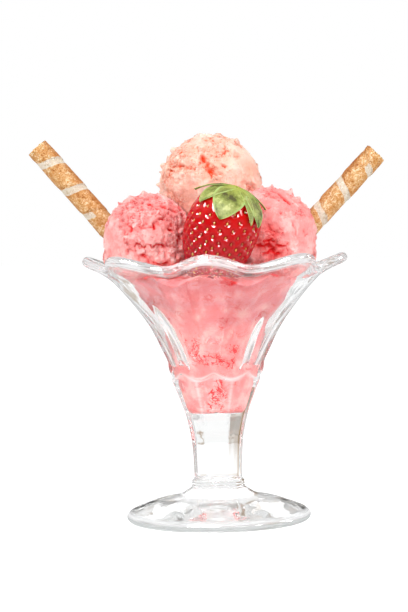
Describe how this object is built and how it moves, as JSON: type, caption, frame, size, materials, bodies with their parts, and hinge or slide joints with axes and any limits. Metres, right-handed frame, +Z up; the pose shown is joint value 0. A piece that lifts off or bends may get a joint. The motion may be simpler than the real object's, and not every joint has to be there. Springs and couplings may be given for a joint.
{
  "type": "ice cream sundae in a footed glass",
  "caption": "Footed glass with a wavy rim and fluted bowl, filled and heaped with scoops of ice cream, a strawberry and rolled wafers.",
  "frame": {"origin": "middle of the flat underside of the foot, which stands on the table", "axes": "+Z up through the stem; -Y towards the strawberry and the viewer; +X to the viewer's right"},
  "size_m": [0.1766, 0.1294, 0.1898],
  "materials": {
    "clear_glass": "clear, polished",
    "strawberry_ice_cream": "frozen cream, rough and moist",
    "peach_ice_cream": "frozen cream, rough and moist",
    "strawberry_skin": "wet, glossy",
    "strawberry_leaf": "satin leaf",
    "baked_wafer": "baked, dry"
  },
  "bodies": {
    "root": {"glass": "clear_glass", "ice_cream_fill": "strawberry_ice_cream", "scoop_left": "strawberry_ice_cream", "scoop_right": "strawberry_ice_cream", "scoop_top": "peach_ice_cream", "strawberry": "strawberry_skin", "strawberry_calyx": "strawberry_leaf", "wafer_left": "baked_wafer", "wafer_right": "baked_wafer"}
  },
  "joints": []
}
